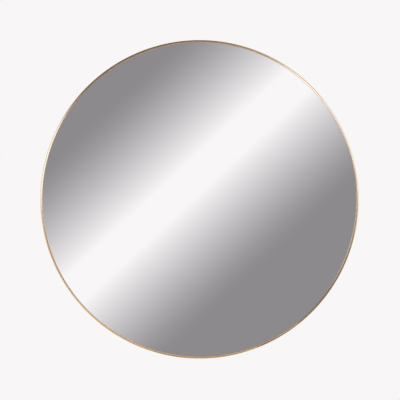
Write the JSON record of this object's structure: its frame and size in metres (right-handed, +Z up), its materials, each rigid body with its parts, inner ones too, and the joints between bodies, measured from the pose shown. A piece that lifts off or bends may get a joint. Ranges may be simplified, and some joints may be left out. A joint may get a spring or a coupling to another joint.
{
  "type": "round wall mirror",
  "caption": "Round flat wall mirror in a slim polished gold metal hoop, with a fibreboard back, folding D-ring hangers and rubber bumpers behind.",
  "frame": {"origin": "the point of the wall plane on the mirror's axis; the wall plane is the plane of the four bumper faces", "axes": "+Z up, +Y along the mirror's axis into the wall, so the glass faces -Y; +X to the right seen from the front"},
  "size_m": [0.6, 0.023, 0.6],
  "materials": {
    "gold_metal": "gold anodised, finely brushed round the hoop",
    "mirror": "silvered float glass, painted on the rear face",
    "foam_tape": "white double-sided foam tape",
    "fibreboard": "raw medium-density fibreboard",
    "zinc_steel": "bright zinc plated",
    "bumper_rubber": "matt black rubber"
  },
  "bodies": {
    "mirror": {"frame_hoop": "gold_metal", "mirror_glass": "mirror", "mounting_tape": "foam_tape", "backing_board": "fibreboard", "board_screws": "zinc_steel", "splice_plate": "zinc_steel", "splice_screws": "zinc_steel", "hanger_strap_left": "zinc_steel", "hanger_screws_left": "zinc_steel", "hanger_strap_right": "zinc_steel", "hanger_screws_right": "zinc_steel", "bumper_upper_left": "bumper_rubber", "bumper_upper_right": "bumper_rubber", "bumper_lower_left": "bumper_rubber", "bumper_lower_right": "bumper_rubber"},
    "ring_left": {"d_ring_left": "zinc_steel"},
    "ring_right": {"d_ring_right": "zinc_steel"}
  },
  "joints": [
    {"name": "ring_left_swing", "type": "hinge", "parent": "mirror", "child": "ring_left", "pos_m": [-0.19208, -0.00472, 0.12003], "axis": [-1, 0, 0], "range_deg": [0, 175]},
    {"name": "ring_right_swing", "type": "hinge", "parent": "mirror", "child": "ring_right", "pos_m": [0.19208, -0.00472, 0.12003], "axis": [-1, 0, 0], "range_deg": [0, 175]}
  ]
}
